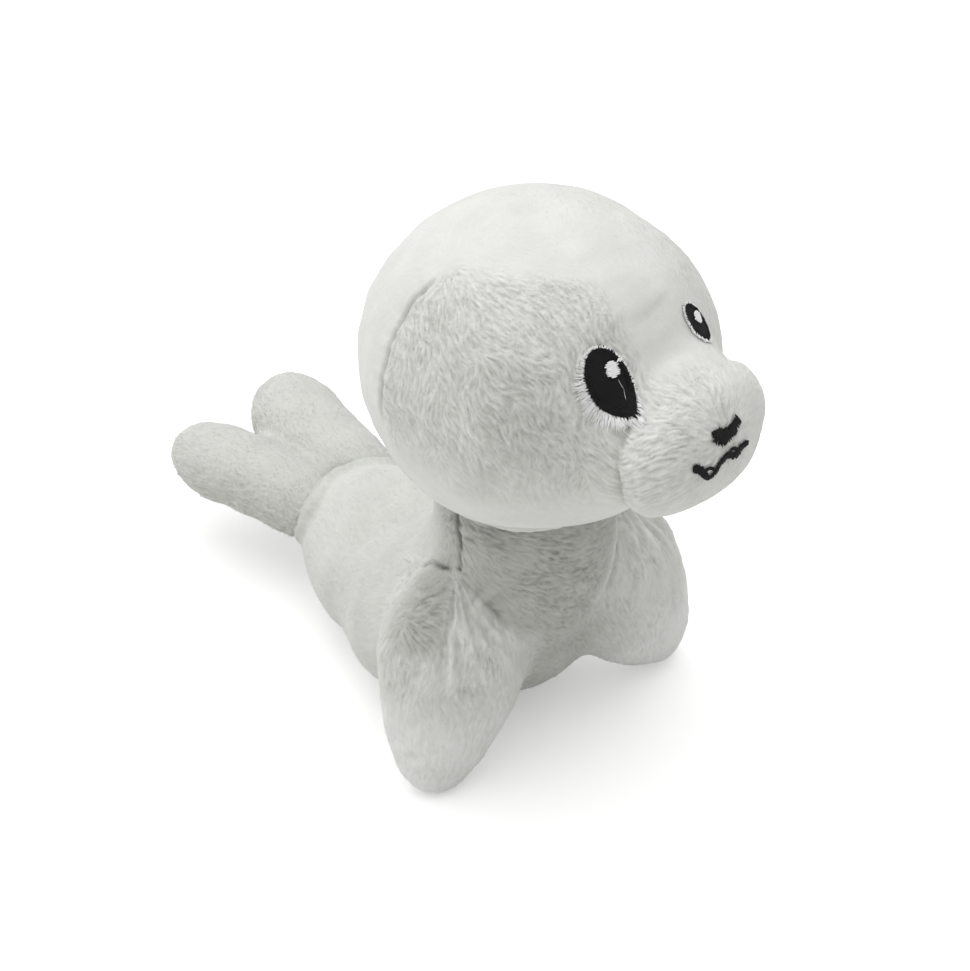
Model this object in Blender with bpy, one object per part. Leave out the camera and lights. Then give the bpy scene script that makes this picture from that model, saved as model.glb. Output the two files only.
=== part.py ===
"""A small stuffed seal pup: a ball head on a body that bends from neck to belly, paddle flippers, a sewn face.

World frame in metres, +Z up, the ground at z = 0. The seal looks along -Y and its left side is at +X.
Every stuffed unit is one closed bag of short pile fabric, and the face is satin stitch in thread.
"""

import math

import bmesh
import bpy
from mathutils import Matrix, Vector
from mathutils.bvhtree import BVHTree

for old in list(bpy.data.objects):
    bpy.data.objects.remove(old, do_unlink=True)

# Head: a slightly flattened ball, with its centre over the neck and turned to the seal's left
HEAD_WIDTH = 0.0719
HEAD_LENGTH = 0.0728
HEAD_HEIGHT = 0.0666
HEAD_FORWARD = 0.0233
HEAD_CENTRE_HEIGHT = 0.0944
HEAD_TURN = math.radians(6.6)

# Muzzle: a smaller ball that grows out of the front of the head
MUZZLE_WIDTH = 0.0400
MUZZLE_HEIGHT = 0.0295
MUZZLE_LENGTH = 0.0230
MUZZLE_REACH = 0.0383
MUZZLE_DROP = 0.0012
MUZZLE_SQUARENESS = 2.1
CHEEK_FILLET = 0.0040
BRIDGE_FILLET = 0.0080

# Eyes, measured along the fabric, at angles from the head's centre
EYE_WIDTH = 0.0099
EYE_HEIGHT = 0.0137
EYE_LEAN = math.radians(23.0)
EYE_SIDE_ANGLE = math.radians(23.8)
EYE_RISE_ANGLE = math.radians(25.6)
GLINT_WIDTH = 0.0032
GLINT_HEIGHT = 0.0010
GLINT_SIDE = 0.0012
GLINT_RISE = 0.0021

# Nose and mouth, as angles from the head's centre to the muzzle's front
NOSE_RISE_ANGLE = math.radians(6.1)
NOSE_WIDTH = 0.0074
NOSE_SAG = 0.0024
NOSE_BAND = 0.0026
MOUTH_RISE_ANGLE = math.radians(-0.9)
MOUTH_WIDTH = 0.0142
MOUTH_SAG = 0.0026
MOUTH_BAND = 0.0012

# Thread lies this high on the fabric, over the small gap that separate pieces keep
THREAD_HEIGHT = 0.0007
CLEARANCE = 0.0003

# Body: upright at the neck, then bent through a right angle about the nape, then straight along the ground
NAPE_RADIUS = 0.0225
NAPE_BACK = 0.0200
BELLY_SETTLE = 0.0005
NECK_RISE = 0.0120
NECK_WIDTH = 0.0400
NECK_DEPTH = 0.0360
CHEST_ANGLE = math.radians(62.0)
CHEST_WIDTH = 0.0550
CHEST_DEPTH = 0.0415
HIP_WIDTH = 0.0430
HIP_HEIGHT = 0.0345
RUMP_LENGTH = 0.0240
RUMP_WIDTH = 0.0300
RUMP_HEIGHT = 0.0270

# Fore flippers: stuffed paddles that carry the chest at both sides, widest near the shoulder
SHOULDER_SIDE = 0.0125
SHOULDER_FORWARD = 0.0180
SHOULDER_HEIGHT = 0.0475
TOE_SIDE = 0.0335
TOE_FORWARD = 0.0272
TOE_BELOW_GROUND = 0.0012
FLIPPER_CHORD = 0.0345
FLIPPER_THICKNESS = 0.0260
FLIPPER_WIDEST = 0.42
FLIPPER_ROLL = math.radians(50.0)

# Tail: two stuffed lobes sewn as one forked bag, held clear of the ground
TAIL_ROOT_BACK = 0.0290
TAIL_ROOT_SIDE = 0.0032
TAIL_ROOT_HEIGHT = 0.0199
TAIL_TIP_BACK = 0.0800
TAIL_TIP_SIDE = 0.0128
TAIL_TIP_HEIGHT = 0.0204
TAIL_CHORD = 0.0212
TAIL_THICKNESS = 0.0172
TAIL_BLUNTNESS = 3.6
TAIL_ROLL = math.radians(-16.0)

# Faces round and along each bag
HEAD_SEGMENTS = 56
HEAD_RINGS = 36
BODY_SEGMENTS = 40
BEND_STEPS = 18
RUMP_STEPS = 9
LIMB_SEGMENTS = 28
LIMB_STEPS = 22


def fabric(name, colour, roughness):
    """A plain cloth or thread material."""
    made = bpy.data.materials.new(name)
    made.use_nodes = True
    shader = made.node_tree.nodes["Principled BSDF"]
    shader.inputs["Base Color"].default_value = (*colour, 1.0)
    shader.inputs["Roughness"].default_value = roughness
    shader.inputs["Metallic"].default_value = 0.0
    return made


def finish(name, bm, material, parent=None):
    """The bmesh as a named object, smooth where it is round."""
    bmesh.ops.recalc_face_normals(bm, faces=bm.faces[:])
    if bm.calc_volume(signed=True) < 0:
        bmesh.ops.reverse_faces(bm, faces=bm.faces[:])
    mesh = bpy.data.meshes.new(name)
    bm.to_mesh(mesh)
    bm.free()
    mesh.shade_smooth()
    mesh.set_sharp_from_angle(angle=math.radians(60))
    obj = bpy.data.objects.new(name, mesh)
    bpy.context.scene.collection.objects.link(obj)
    if material:
        mesh.materials.append(material)
    obj.parent = parent
    return obj


def cutter(name, bm, parent=None):
    """A hidden shape that only trims its neighbours."""
    obj = finish(name, bm, None, parent)
    obj.hide_render = True
    obj.display_type = "WIRE"
    return obj


def boolean(obj, other, operation):
    step = obj.modifiers.new(operation.lower(), "BOOLEAN")
    step.operation = operation
    step.solver = "EXACT"
    step.object = other


def smooth_step(t):
    return t * t * (3 - 2 * t)


def mix(a, b, t):
    return a + (b - a) * t


# Head surface

def skull_radius(direction, grow):
    """How far the ball of the head reaches from its centre in this direction."""
    x = direction.x / (HEAD_WIDTH / 2 + grow)
    y = direction.y / (HEAD_LENGTH / 2 + grow)
    z = direction.z / (HEAD_HEIGHT / 2 + grow)
    return 1 / math.sqrt(x * x + y * y + z * z)


def muzzle_depth(point, grow):
    """Below zero inside the muzzle's blunt ball, zero on its skin, above zero outside."""
    x = abs(point.x) / (MUZZLE_WIDTH / 2 + grow)
    y = abs(point.y + MUZZLE_REACH) / (MUZZLE_LENGTH / 2 + grow)
    z = abs(point.z + MUZZLE_DROP) / (MUZZLE_HEIGHT / 2 + grow)
    return sum(part ** MUZZLE_SQUARENESS for part in (x, y, z)) ** (1 / MUZZLE_SQUARENESS) - 1


def muzzle_radius(direction, grow):
    """The far side of the muzzle from the head's centre, and a steep fall past its edge."""
    low = 0.0
    high = 2 * MUZZLE_REACH
    for _ in range(30):
        third = (high - low) / 3
        if muzzle_depth(direction * (low + third), grow) < muzzle_depth(direction * (high - third), grow):
            high -= third
        else:
            low += third
    middle = (low + high) / 2
    miss = muzzle_depth(direction * middle, grow)
    if miss >= 0:
        return max(0.0, middle - miss * MUZZLE_WIDTH)
    inside = middle
    outside = 2 * MUZZLE_REACH
    for _ in range(30):
        middle = (inside + outside) / 2
        if muzzle_depth(direction * middle, grow) < 0:
            inside = middle
        else:
            outside = middle
    return middle


def head_radius(direction, grow=0.0):
    """Head and muzzle as one surface, with a wide fillet over the bridge and a tight one at the cheeks."""
    skull = skull_radius(direction, grow)
    muzzle = muzzle_radius(direction, grow)
    upward = smooth_step(min(max((direction.z + 0.05) / 0.45, 0.0), 1.0))
    fillet = mix(CHEEK_FILLET, BRIDGE_FILLET, upward)
    near = max(fillet - abs(skull - muzzle), 0.0) / fillet
    return max(skull, muzzle) + near * near * fillet / 4


def facing(side_angle, rise_angle):
    """A direction from the head's centre: side_angle to the seal's left of straight ahead, rise_angle up."""
    level = math.cos(rise_angle)
    return Vector((math.sin(side_angle) * level, -math.cos(side_angle) * level, math.sin(rise_angle)))


def head_ball(grow=0.0):
    """A sphere with its poles fore and aft, closer rings on the muzzle, pushed out to the head's surface."""
    bm = bmesh.new()
    bmesh.ops.create_uvsphere(bm, u_segments=HEAD_SEGMENTS, v_segments=HEAD_RINGS, radius=1.0)
    bmesh.ops.rotate(bm, verts=bm.verts[:], cent=(0, 0, 0), matrix=Matrix.Rotation(math.pi / 2, 3, "X"))
    for vert in bm.verts:
        polar = math.acos(min(max(-vert.co.y, -1.0), 1.0))
        closer = math.pi * (polar / math.pi) ** 1.35
        level = Vector((vert.co.x, 0, vert.co.z))
        if level.length > 1e-6:
            level.normalize()
        direction = level * math.sin(closer) + Vector((0, -math.cos(closer), 0))
        vert.co = direction * head_radius(direction, grow)
    return bm


def on_head(side_angle, rise_angle, along, up, height):
    """A point over the fabric: along to the seal's left and up from the place that the two angles face."""
    forward = facing(side_angle, rise_angle)
    reach = head_radius(forward)
    left = Vector((math.cos(side_angle), math.sin(side_angle), 0))
    top = forward.cross(left)
    direction = (forward * reach + left * along + top * up).normalized()
    fabric_point = head_tree.ray_cast(direction * 2 * reach, -direction)[0]
    return fabric_point + direction * height


# Stitched face

def stitched_patch(outline, place, rings=5):
    """A thin closed pad of thread that follows the head, filling outline around place."""
    bm = bmesh.new()
    layers = []
    for lift in (CLEARANCE, CLEARANCE + THREAD_HEIGHT):
        centre = bm.verts.new(on_head(*place, 0, 0, lift))
        hoops = []
        for ring in range(1, rings + 1):
            share = ring / rings
            hoops.append([bm.verts.new(on_head(*place, x * share, y * share, lift)) for x, y in outline])
        layers.append((centre, hoops))
    count = len(outline)
    for centre, hoops in layers:
        for i in range(count):
            bm.faces.new((centre, hoops[0][i], hoops[0][(i + 1) % count]))
            for inner, outer in zip(hoops, hoops[1:]):
                bm.faces.new((inner[i], outer[i], outer[(i + 1) % count], inner[(i + 1) % count]))
    low, high = layers[0][1][-1], layers[1][1][-1]
    for i in range(count):
        bm.faces.new((low[i], high[i], high[(i + 1) % count], low[(i + 1) % count]))
    return bm


def thread_knot(place):
    """A low round knot of thread that sits on the eye at place."""
    bm = bmesh.new()
    bmesh.ops.create_uvsphere(bm, u_segments=20, v_segments=10, radius=GLINT_WIDTH / 2)
    low = 2 * CLEARANCE + THREAD_HEIGHT
    spot = on_head(*place, GLINT_SIDE, GLINT_RISE, low + GLINT_HEIGHT / 2)
    turn = spot.to_track_quat("Z", "Y").to_matrix().to_4x4()
    flatten = Matrix.Diagonal((1, 1, GLINT_HEIGHT / GLINT_WIDTH, 1))
    bmesh.ops.transform(bm, matrix=Matrix.Translation(spot) @ turn @ flatten, verts=bm.verts[:])
    return bm


def oval(width, height, lean, count):
    """Points round an ellipse whose top leans towards +x."""
    points = []
    for i in range(count):
        turn = 2 * math.pi * i / count
        x = width / 2 * math.cos(turn)
        y = height / 2 * math.sin(turn)
        points.append((x * math.cos(lean) + y * math.sin(lean), y * math.cos(lean) - x * math.sin(lean)))
    return points


def stitched_band(path, width, place):
    """A band of thread with round edges along path, following the head."""
    bm = bmesh.new()
    half = width / 2
    sections = []
    for i, (x, y) in enumerate(path):
        before = path[max(i - 1, 0)]
        after = path[min(i + 1, len(path) - 1)]
        run = Vector((after[0] - before[0], after[1] - before[1])).normalized()
        across = Vector((-run.y, run.x))
        taper = 0.55 if i in (0, len(path) - 1) else 1.0
        section = []
        for side, lift in ((-1, 0), (-1, 0.5), (-0.6, 1), (0.6, 1), (1, 0.5), (1, 0)):
            at = Vector((x, y)) + across * side * half * taper
            section.append(bm.verts.new(on_head(*place, at.x, at.y, CLEARANCE + lift * THREAD_HEIGHT)))
        sections.append(section)
    for here, there in zip(sections, sections[1:]):
        for i in range(len(here)):
            j = (i + 1) % len(here)
            bm.faces.new((here[i], here[j], there[j], there[i]))
    bm.faces.new(sections[0])
    bm.faces.new(sections[-1])
    return bm


def bow(width, sag, count):
    """A shallow arc that hangs between two ends, as a list of points."""
    points = []
    for i in range(count):
        t = 2 * i / (count - 1) - 1
        points.append((width / 2 * t, sag * (t * t - 0.5)))
    return points


def double_bow(width, sag, count):
    """Two hanging arcs side by side, meeting at a peak in the middle."""
    points = []
    for i in range(count):
        t = 2 * i / (count - 1) - 1
        points.append((width / 2 * t, -sag * abs(math.sin(math.pi * t)) ** 0.8 + sag / 2))
    return points


# Body and limbs

def loft(sections):
    """A closed skin through rings of points, with a fan over each end."""
    bm = bmesh.new()
    rings = [[bm.verts.new(point) for point in section] for section in sections]
    for here, there in zip(rings, rings[1:]):
        for i in range(len(here)):
            j = (i + 1) % len(here)
            bm.faces.new((here[i], here[j], there[j], there[i]))
    for ring in (rings[0], rings[-1]):
        middle = sum((vert.co for vert in ring), Vector()) / len(ring)
        pole = bm.verts.new(middle)
        for i in range(len(ring)):
            bm.faces.new((pole, ring[i], ring[(i + 1) % len(ring)]))
    return bm


def ring_points(centre, across, through, half_across, half_through, count):
    """Points round an ellipse in the plane of across and through."""
    points = []
    for i in range(count):
        turn = 2 * math.pi * i / count
        points.append(
            centre + across * half_across * math.cos(turn) + through * half_through * math.sin(turn)
        )
    return points


def trim_at_ground(bm):
    """Cuts a skin off at z = 0 and closes it with a flat sole."""
    everything = bm.verts[:] + bm.edges[:] + bm.faces[:]
    bmesh.ops.bisect_plane(
        bm, geom=everything, dist=1e-7, plane_co=(0, 0, 0), plane_no=(0, 0, -1), clear_outer=True
    )
    bmesh.ops.holes_fill(bm, edges=[edge for edge in bm.edges if edge.is_boundary], sides=0)


def body_skin(grow=0.0):
    """The body's rings: down the neck, fanned about the nape, and out to the rump."""
    side = Vector((1, 0, 0))
    nape = Vector((0, NAPE_BACK, HIP_HEIGHT - BELLY_SETTLE + NAPE_RADIUS))
    sections = []

    def add(centre, through, width, depth):
        half_wide = width / 2 + grow
        half_deep = depth / 2 + grow
        sections.append(ring_points(centre, side, through, half_wide, half_deep, BODY_SEGMENTS))

    forward = Vector((0, -1, 0))
    neck_top = nape + forward * (NAPE_RADIUS + NECK_DEPTH / 2) + Vector((0, 0, NECK_RISE))
    add(neck_top, forward, NECK_WIDTH, NECK_DEPTH)
    for i in range(BEND_STEPS + 1):
        angle = i / BEND_STEPS * math.pi / 2
        through = Vector((0, -math.cos(angle), -math.sin(angle)))
        if angle < CHEST_ANGLE:
            share = smooth_step(angle / CHEST_ANGLE)
            width = mix(NECK_WIDTH, CHEST_WIDTH, share)
            depth = mix(NECK_DEPTH, CHEST_DEPTH, share)
        else:
            share = smooth_step((angle - CHEST_ANGLE) / (math.pi / 2 - CHEST_ANGLE))
            width = mix(CHEST_WIDTH, HIP_WIDTH, share)
            depth = mix(CHEST_DEPTH, HIP_HEIGHT, share)
        add(nape + through * (NAPE_RADIUS + depth / 2), through, width, depth)
    hip = nape - Vector((0, 0, NAPE_RADIUS + HIP_HEIGHT / 2))
    for i in range(1, RUMP_STEPS + 1):
        turn = i / (RUMP_STEPS + 0.35) * math.pi / 2
        t = math.sin(turn)
        close = math.cos(turn) ** 0.55
        width = mix(HIP_WIDTH, RUMP_WIDTH, t) * close
        depth = mix(HIP_HEIGHT, RUMP_HEIGHT, t) * close
        add(hip + Vector((0, (RUMP_LENGTH + grow) * t, 0)), Vector((0, 0, -1)), width, depth)
    bm = loft(sections)
    if not grow:
        trim_at_ground(bm)
    return bm


def flipper_swell(t):
    """How full a fore flipper is from shoulder to toe: a round shoulder, then a taper to a blunt toe."""
    if t < FLIPPER_WIDEST:
        short = 1 - t / FLIPPER_WIDEST
        return math.sqrt(1 - short * short)
    left = (1 - t) / (1 - FLIPPER_WIDEST)
    return math.sqrt(left) * (1.15 - 0.15 * left)


def lobe_swell(t):
    """How full a tail lobe is: nearly even, with round ends."""
    return math.sqrt(1 - abs(2 * t - 1) ** TAIL_BLUNTNESS)


def paddle(root, tip, roll, chord, thickness, swell):
    """A stuffed flipper from root to tip, as full as swell says along the way."""
    run = (tip - root).normalized()
    level = Vector((0, 0, 1)).cross(run).normalized()
    upright = run.cross(level)
    across = level * math.cos(roll) + upright * math.sin(roll)
    through = upright * math.cos(roll) - level * math.sin(roll)
    sections = []
    for i in range(LIMB_STEPS + 1):
        t = (1 - math.cos(math.pi * (i + 0.15) / (LIMB_STEPS + 0.3))) / 2
        full = swell(t)
        centre = root.lerp(tip, t)
        sections.append(
            ring_points(centre, across, through, chord / 2 * full, thickness / 2 * full, LIMB_SEGMENTS)
        )
    return loft(sections)


plush = fabric("pale_grey_plush", (0.69, 0.70, 0.66), 0.95)
black_thread = fabric("black_thread", (0.008, 0.008, 0.009), 0.55)
white_thread = fabric("white_thread", (0.86, 0.86, 0.85), 0.6)

head_frame = bpy.data.objects.new("head_frame", None)
head_frame.location = (0, -HEAD_FORWARD, HEAD_CENTRE_HEIGHT)
head_frame.rotation_euler = (0, 0, HEAD_TURN)
bpy.context.scene.collection.objects.link(head_frame)

head_skin = head_ball()
head_tree = BVHTree.FromBMesh(head_skin)
finish("head", head_skin, plush, head_frame)
head_room = cutter("head_room", head_ball(CLEARANCE), head_frame)

body = finish("body", body_skin(), plush)
boolean(body, head_room, "DIFFERENCE")
body_room = cutter("body_room", body_skin(CLEARANCE))


def fore_flipper(side):
    """One fore flipper, with a sole where it stands."""
    shoulder = Vector((side * SHOULDER_SIDE, -SHOULDER_FORWARD, SHOULDER_HEIGHT))
    toe = Vector((side * TOE_SIDE, -TOE_FORWARD, -TOE_BELOW_GROUND))
    roll = side * FLIPPER_ROLL
    skin = paddle(shoulder, toe, roll, FLIPPER_CHORD, FLIPPER_THICKNESS, flipper_swell)
    trim_at_ground(skin)
    return skin


for name, side in (("left", 1), ("right", -1)):
    flipper = finish("fore_flipper_" + name, fore_flipper(side), plush)
    boolean(flipper, body_room, "DIFFERENCE")


def tail_lobe(side):
    """One half of the forked tail."""
    root = Vector((side * TAIL_ROOT_SIDE, TAIL_ROOT_BACK, TAIL_ROOT_HEIGHT))
    tip = Vector((side * TAIL_TIP_SIDE, TAIL_TIP_BACK, TAIL_TIP_HEIGHT))
    return paddle(root, tip, side * TAIL_ROLL, TAIL_CHORD, TAIL_THICKNESS, lobe_swell)


tail = finish("tail", tail_lobe(1), plush)
boolean(tail, cutter("tail_right_lobe", tail_lobe(-1)), "UNION")
boolean(tail, body_room, "DIFFERENCE")

for name, side in (("left", 1), ("right", -1)):
    eye_place = (side * EYE_SIDE_ANGLE, EYE_RISE_ANGLE)
    outline = oval(EYE_WIDTH, EYE_HEIGHT, side * EYE_LEAN, 32)
    finish("eye_" + name, stitched_patch(outline, eye_place), black_thread, head_frame)
    finish("eye_glint_" + name, thread_knot(eye_place), white_thread, head_frame)

nose_path = bow(NOSE_WIDTH, NOSE_SAG, 9)
finish("nose", stitched_band(nose_path, NOSE_BAND, (0.0, NOSE_RISE_ANGLE)), black_thread, head_frame)
mouth_path = double_bow(MOUTH_WIDTH, MOUTH_SAG, 21)
finish("mouth", stitched_band(mouth_path, MOUTH_BAND, (0.0, MOUTH_RISE_ANGLE)), black_thread, head_frame)
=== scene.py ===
"""A small stuffed seal pup in pale grey short pile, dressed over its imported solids.

Everything is in the part's own frame: metres, +Z up, the seal looking along -Y, its left side at +X.
"""

import math
from functools import partial

import bmesh
import bpy
import numpy as np
from mathutils import Matrix, Vector
from mathutils.bvhtree import BVHTree


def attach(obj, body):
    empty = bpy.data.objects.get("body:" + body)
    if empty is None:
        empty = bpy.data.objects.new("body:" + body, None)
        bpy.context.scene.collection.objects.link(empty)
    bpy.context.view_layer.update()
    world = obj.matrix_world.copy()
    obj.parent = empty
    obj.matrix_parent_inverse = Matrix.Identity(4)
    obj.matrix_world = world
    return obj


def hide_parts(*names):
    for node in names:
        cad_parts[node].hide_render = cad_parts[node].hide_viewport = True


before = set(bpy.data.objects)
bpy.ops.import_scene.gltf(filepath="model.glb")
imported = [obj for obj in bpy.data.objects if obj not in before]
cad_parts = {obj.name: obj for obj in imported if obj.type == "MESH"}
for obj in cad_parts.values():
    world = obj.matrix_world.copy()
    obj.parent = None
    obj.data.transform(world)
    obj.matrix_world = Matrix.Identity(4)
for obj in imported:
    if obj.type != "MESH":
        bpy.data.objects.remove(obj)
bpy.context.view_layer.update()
scene = bpy.context.scene
scene.view_settings.view_transform = "Standard"

MM = 0.001

# The head, as the solid has it: its centre, its radius at the eyes, and its turn to the seal's left
HEAD_CENTRE = Vector((0, -0.0233, 0.0944))
HEAD_RADIUS = 36.6 * MM
HEAD_TURN = math.radians(6.6)
# Well outside the head, for rays that look for its surface
OUTSIDE = 80 * MM
# What the body bends up around, from its back to the neck
NAPE = np.array((0, 0.020, 0.0565))

# Fabric: how deep the pile is, each bag's grid, and how far its edge is let into a neighbour
PILE_DEPTH = 0.5 * MM
BAG_GRID = {"head": 1.05 * MM, "body": 1.3 * MM, "tail": 1.3 * MM}
SEAM_LET_IN = 1.6 * MM
# Filling: the steps of the cloth simulation, and the most that it moves the fabric
SIM_FRAMES = 16
MOST_SWELL = 0.7 * MM
# Pile: how wide its brushed ridges are, how many loose fibres a square metre has, and how long they are
RIDGE_WIDTH = 0.37 * MM
FIBRES = 4.0e6
PILE_LENGTH = {"head": 0.6 * MM, "body": 0.75 * MM, "tail": 0.9 * MM}
# Shades of the pile go from 0, deep between the fibres, to 1, where they catch the light
BASE_SHADE = {"head": 0.60, "body": 0.50, "tail": 0.41}

# How deep the gathers are where a bag is sewn to its neighbours, and which those are
GATHER = {"head": 0.0, "body": 0.15 * MM, "tail": 0.25 * MM}
SEWN_TO = {"head": ("body",), "body": ("head", "tail"), "tail": ("body",)}
# The body and the fore flippers are one bag outside, as the seams between them lie under the pile
SOLIDS = {"head": ("head",), "body": ("body", "fore_flipper_left", "fore_flipper_right"), "tail": ("tail",)}


# Camera

def camera():
    """A long lens, from the seal's right front and well above it."""
    turn = -0.7194
    rise = 0.6739
    distance = 0.8
    target = Vector((-0.010933, -0.020, 0.065087))
    back = Vector((math.sin(turn) * math.cos(rise), -math.cos(turn) * math.cos(rise), math.sin(rise)))
    data = bpy.data.cameras.new("camera")
    # The focal length in pixels, over the pixels along the picture's longer side
    data.sensor_width = 36.0
    data.lens = 4000 / 971 * data.sensor_width
    data.clip_start = 0.01
    data.clip_end = 20.0
    made = bpy.data.objects.new("camera", data)
    made.location = target + back * distance
    made.rotation_euler = (math.pi / 2 - rise, 0, turn)
    scene.collection.objects.link(made)
    scene.camera = made


# Numbers spread over space

def lattice(cell, seed):
    """A fixed pseudo-random number from -1 to 1 for each whole-number cell."""
    mixed = cell[:, 0] * 374761393 + cell[:, 1] * 668265263 + cell[:, 2] * 2147483647 + seed * 1274126177
    mixed = (mixed ^ (mixed >> 13)) * 1274126177
    mixed = mixed ^ (mixed >> 16)
    return (mixed & 0xFFFFF) / 524287.5 - 1


def cloud(points, size, seed):
    """Smooth noise from -1 to 1, with features about size across."""
    at = points / size + 1000.0
    base = np.floor(at).astype(np.int64)
    part = at - base
    ease = part * part * part * (part * (part * 6 - 15) + 10)
    total = np.zeros(len(points))
    for corner in range(8):
        step = np.array((corner & 1, corner >> 1 & 1, corner >> 2 & 1))
        weight = np.prod(np.where(step, ease, 1 - ease), axis=1)
        total += weight * lattice(base + step, seed)
    return total


def unit(vectors):
    """Each row at length 1."""
    return vectors / np.maximum(np.linalg.norm(vectors, axis=1, keepdims=True), 1e-9)


# How far each eye's middle is turned to its side and up, as the solids have it
EYE_SIDE = math.radians(23.8)
EYE_RISE = math.radians(25.6)
# Width, height and lean of each eye; the pile covers part of the left one
EYE_OVAL = {-1: (9.8 * MM, 15.1 * MM, math.radians(-14)), 1: (5.3 * MM, 9.5 * MM, math.radians(-8))}
# The lines of the nose and the mouth on the muzzle: across, up and width in mm
NOSE_LINE = [(-2.9, 7.2, 2.2), (-2.7, 6.2, 3.1), (-1.5, 5.1, 3.4), (0.6, 5.0, 2.9), (2.6, 5.5, 2.5)]
NOSE_LINE += [(4.0, 6.3, 2.4)]
MOUTH_LINE = [(-9.6, 2.0, 1.3), (-8.6, 1.6, 2.0), (-7.5, 0.4, 1.7), (-6.0, -1.8, 1.2), (-4.4, -1.7, 1.2)]
MOUTH_LINE += [(-3.3, -0.2, 1.3), (-2.0, 0.6, 1.7), (-0.6, 0.8, 1.6), (0.6, 0.1, 1.4), (1.6, -0.5, 1.8)]
MOUTH_LINE += [(2.8, 0.1, 2.0), (4.2, 0.5, 1.6), (5.8, 0.0, 1.0)]
MOUTH_LOOPS = (
    [(-7.4, 0.4, 0.7), (-5.8, 0.5, 0.7), (-4.3, -0.6, 0.7)],
    [(-0.4, 0.8, 0.7), (0.8, 1.5, 0.7), (2.2, 0.6, 0.7)],
)


def eye_axes(side):
    """An eye's outward, leftward and upward directions in the head's own frame."""
    turn = side * EYE_SIDE
    level = math.cos(EYE_RISE)
    forward = np.array((math.sin(turn) * level, -math.cos(turn) * level, math.sin(EYE_RISE)))
    left = np.array((math.cos(turn), math.sin(turn), 0))
    return forward, left, np.cross(forward, left)


def stitched_gap(points):
    """How far each point of the head is from the nearest stitching, below zero inside it."""
    local = to_head(points)
    gap = np.full(len(points), OUTSIDE)
    for side in (-1, 1):
        forward, left, top = eye_axes(side)
        ahead = local @ forward
        reach = HEAD_RADIUS / np.maximum(ahead, 1 * MM)
        x, y = (local @ left) * reach, (local @ top) * reach
        eye_wide, eye_tall, lean = EYE_OVAL[side]
        wide = (x * math.cos(lean) - y * math.sin(lean)) / (eye_wide / 2)
        tall = (x * math.sin(lean) + y * math.cos(lean)) / (eye_tall / 2)
        edge = (np.hypot(wide, tall) - 1) * eye_wide / 2
        gap = np.where(ahead > 20 * MM, np.minimum(gap, edge), gap)
    on_front = local[:, 1] < -40 * MM
    for line in (NOSE_LINE, MOUTH_LINE):
        for x, y, width in smooth_path(line, steps=3):
            edge = np.hypot(local[:, 0] - x * MM, local[:, 2] - y * MM) - width * MM / 2
            gap = np.where(on_front, np.minimum(gap, edge), gap)
    return gap


# Which way the pile lies

def to_head(points):
    """Row coordinates as the head's own: x to its left, -y ahead, z up, from its centre."""
    turn = Matrix.Rotation(-HEAD_TURN, 3, "Z")
    return (points - np.array(HEAD_CENTRE)) @ np.array(turn).T


def from_head(vectors):
    """The head's own directions as the part's."""
    turn = Matrix.Rotation(HEAD_TURN, 3, "Z")
    return vectors @ np.array(turn).T


def head_nap(points):
    """The pile fans out from a whorl at the top of each rear seam, and runs to the nose on the muzzle."""
    local = to_head(points)
    total = np.zeros_like(local)
    for side in (-1, 1):
        whorl = np.array((side * 18.0, 8.5, 28.5)) * MM
        away = local - whorl
        far = np.linalg.norm(away, axis=1, keepdims=True)
        total += away / far ** 3
    to_nose = unit(np.array((0, -50.0, 5.0)) * MM - local)
    muzzle = np.clip((-local[:, 1] - 31 * MM) / (7 * MM), 0, 1)[:, None]
    return from_head(unit(unit(total) * (1 - muzzle) + to_nose * muzzle))


def head_curl(points):
    """The pile lies straight above the eyes and on the muzzle, and curls on the lower cheeks."""
    local = to_head(points)
    low = np.clip((26 * MM - local[:, 2]) / (8 * MM), 0, 1)
    cheek = np.clip((local[:, 1] + 38 * MM) / (8 * MM), 0, 1)
    return 0.22 + 0.85 * low * cheek


def head_brushing(points):
    """How strongly the brushing shows: it is faint on the crown, behind the rear seam and under the head."""
    local = to_head(points)
    edge = np.interp(local[:, 1], np.array((-17.8, -8.1, 1.2)) * MM, np.array((-3.5, -11.3, -15.3)) * MM)
    right = np.clip((edge - local[:, 0]) / (4 * MM), 0, 1)
    left = np.clip((local[:, 0] - 8 * MM) / (9 * MM), 0, 1)
    side = right + 0.3 * left
    heights = [mark[2] * MM for mark in REAR_SEAM]
    seam_back = np.interp(points[:, 2], heights, [mark[1] * MM for mark in REAR_SEAM])
    ahead = np.clip((seam_back - points[:, 1]) / (2 * MM), 0, 1)
    above = np.clip((local[:, 2] + 13 * MM) / (14 * MM), 0, 1)
    muzzle = np.clip((-local[:, 1] - 33 * MM) / (5 * MM), 0, 1)
    muzzle = muzzle * (0.3 + 0.6 * np.clip((7 * MM - local[:, 0]) / (6 * MM), 0, 1))
    muzzle = muzzle * np.clip((local[:, 2] + 7 * MM) / (8 * MM), 0.15, 1)
    return 0.13 + 0.87 * np.maximum(side * ahead * above, muzzle)


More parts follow.
